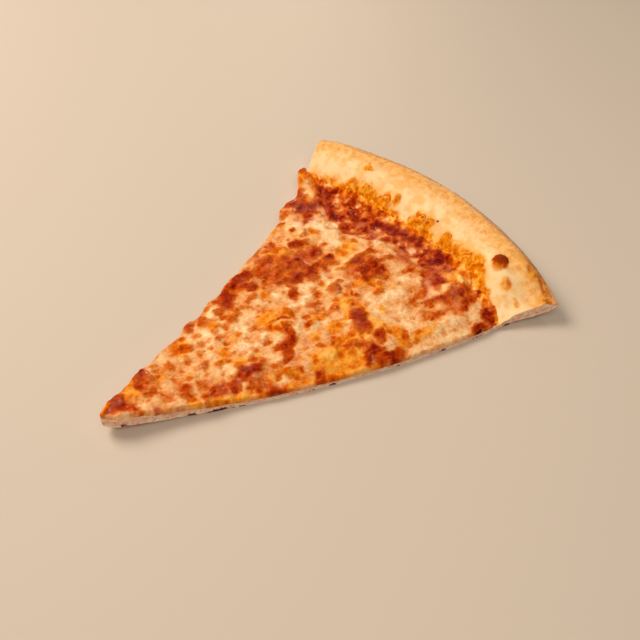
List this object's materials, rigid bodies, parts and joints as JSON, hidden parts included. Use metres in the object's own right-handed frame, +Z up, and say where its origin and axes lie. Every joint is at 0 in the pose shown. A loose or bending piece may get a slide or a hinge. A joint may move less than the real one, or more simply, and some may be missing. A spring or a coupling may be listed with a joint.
{
  "type": "cheese pizza slice",
  "caption": "Large thin-crust cheese pizza slice: a long wedge of dough with a baked rim, tomato sauce and a melted, browned cheese top.",
  "frame": {"origin": "middle of the slice's box, at the bottom, on the flat belly of the crust", "axes": "+X from the tip to the rim, +Y from the front cut to the back cut, +Z up through the cheese"},
  "size_m": [0.2268, 0.1756, 0.02],
  "materials": {
    "baked_dough": "dry baked dough, pale cream on the inner slope, golden brown and floury on the outside, white crumb with small pores on the cuts",
    "tomato_sauce": "wet cooked tomato, dark red, with a shine",
    "melted_cheese": "melted cheese, cream mottled with orange oil and browned blisters, oily gloss"
  },
  "bodies": {
    "root": {"crust": "baked_dough", "sauce": "tomato_sauce", "cheese": "melted_cheese"}
  },
  "joints": []
}
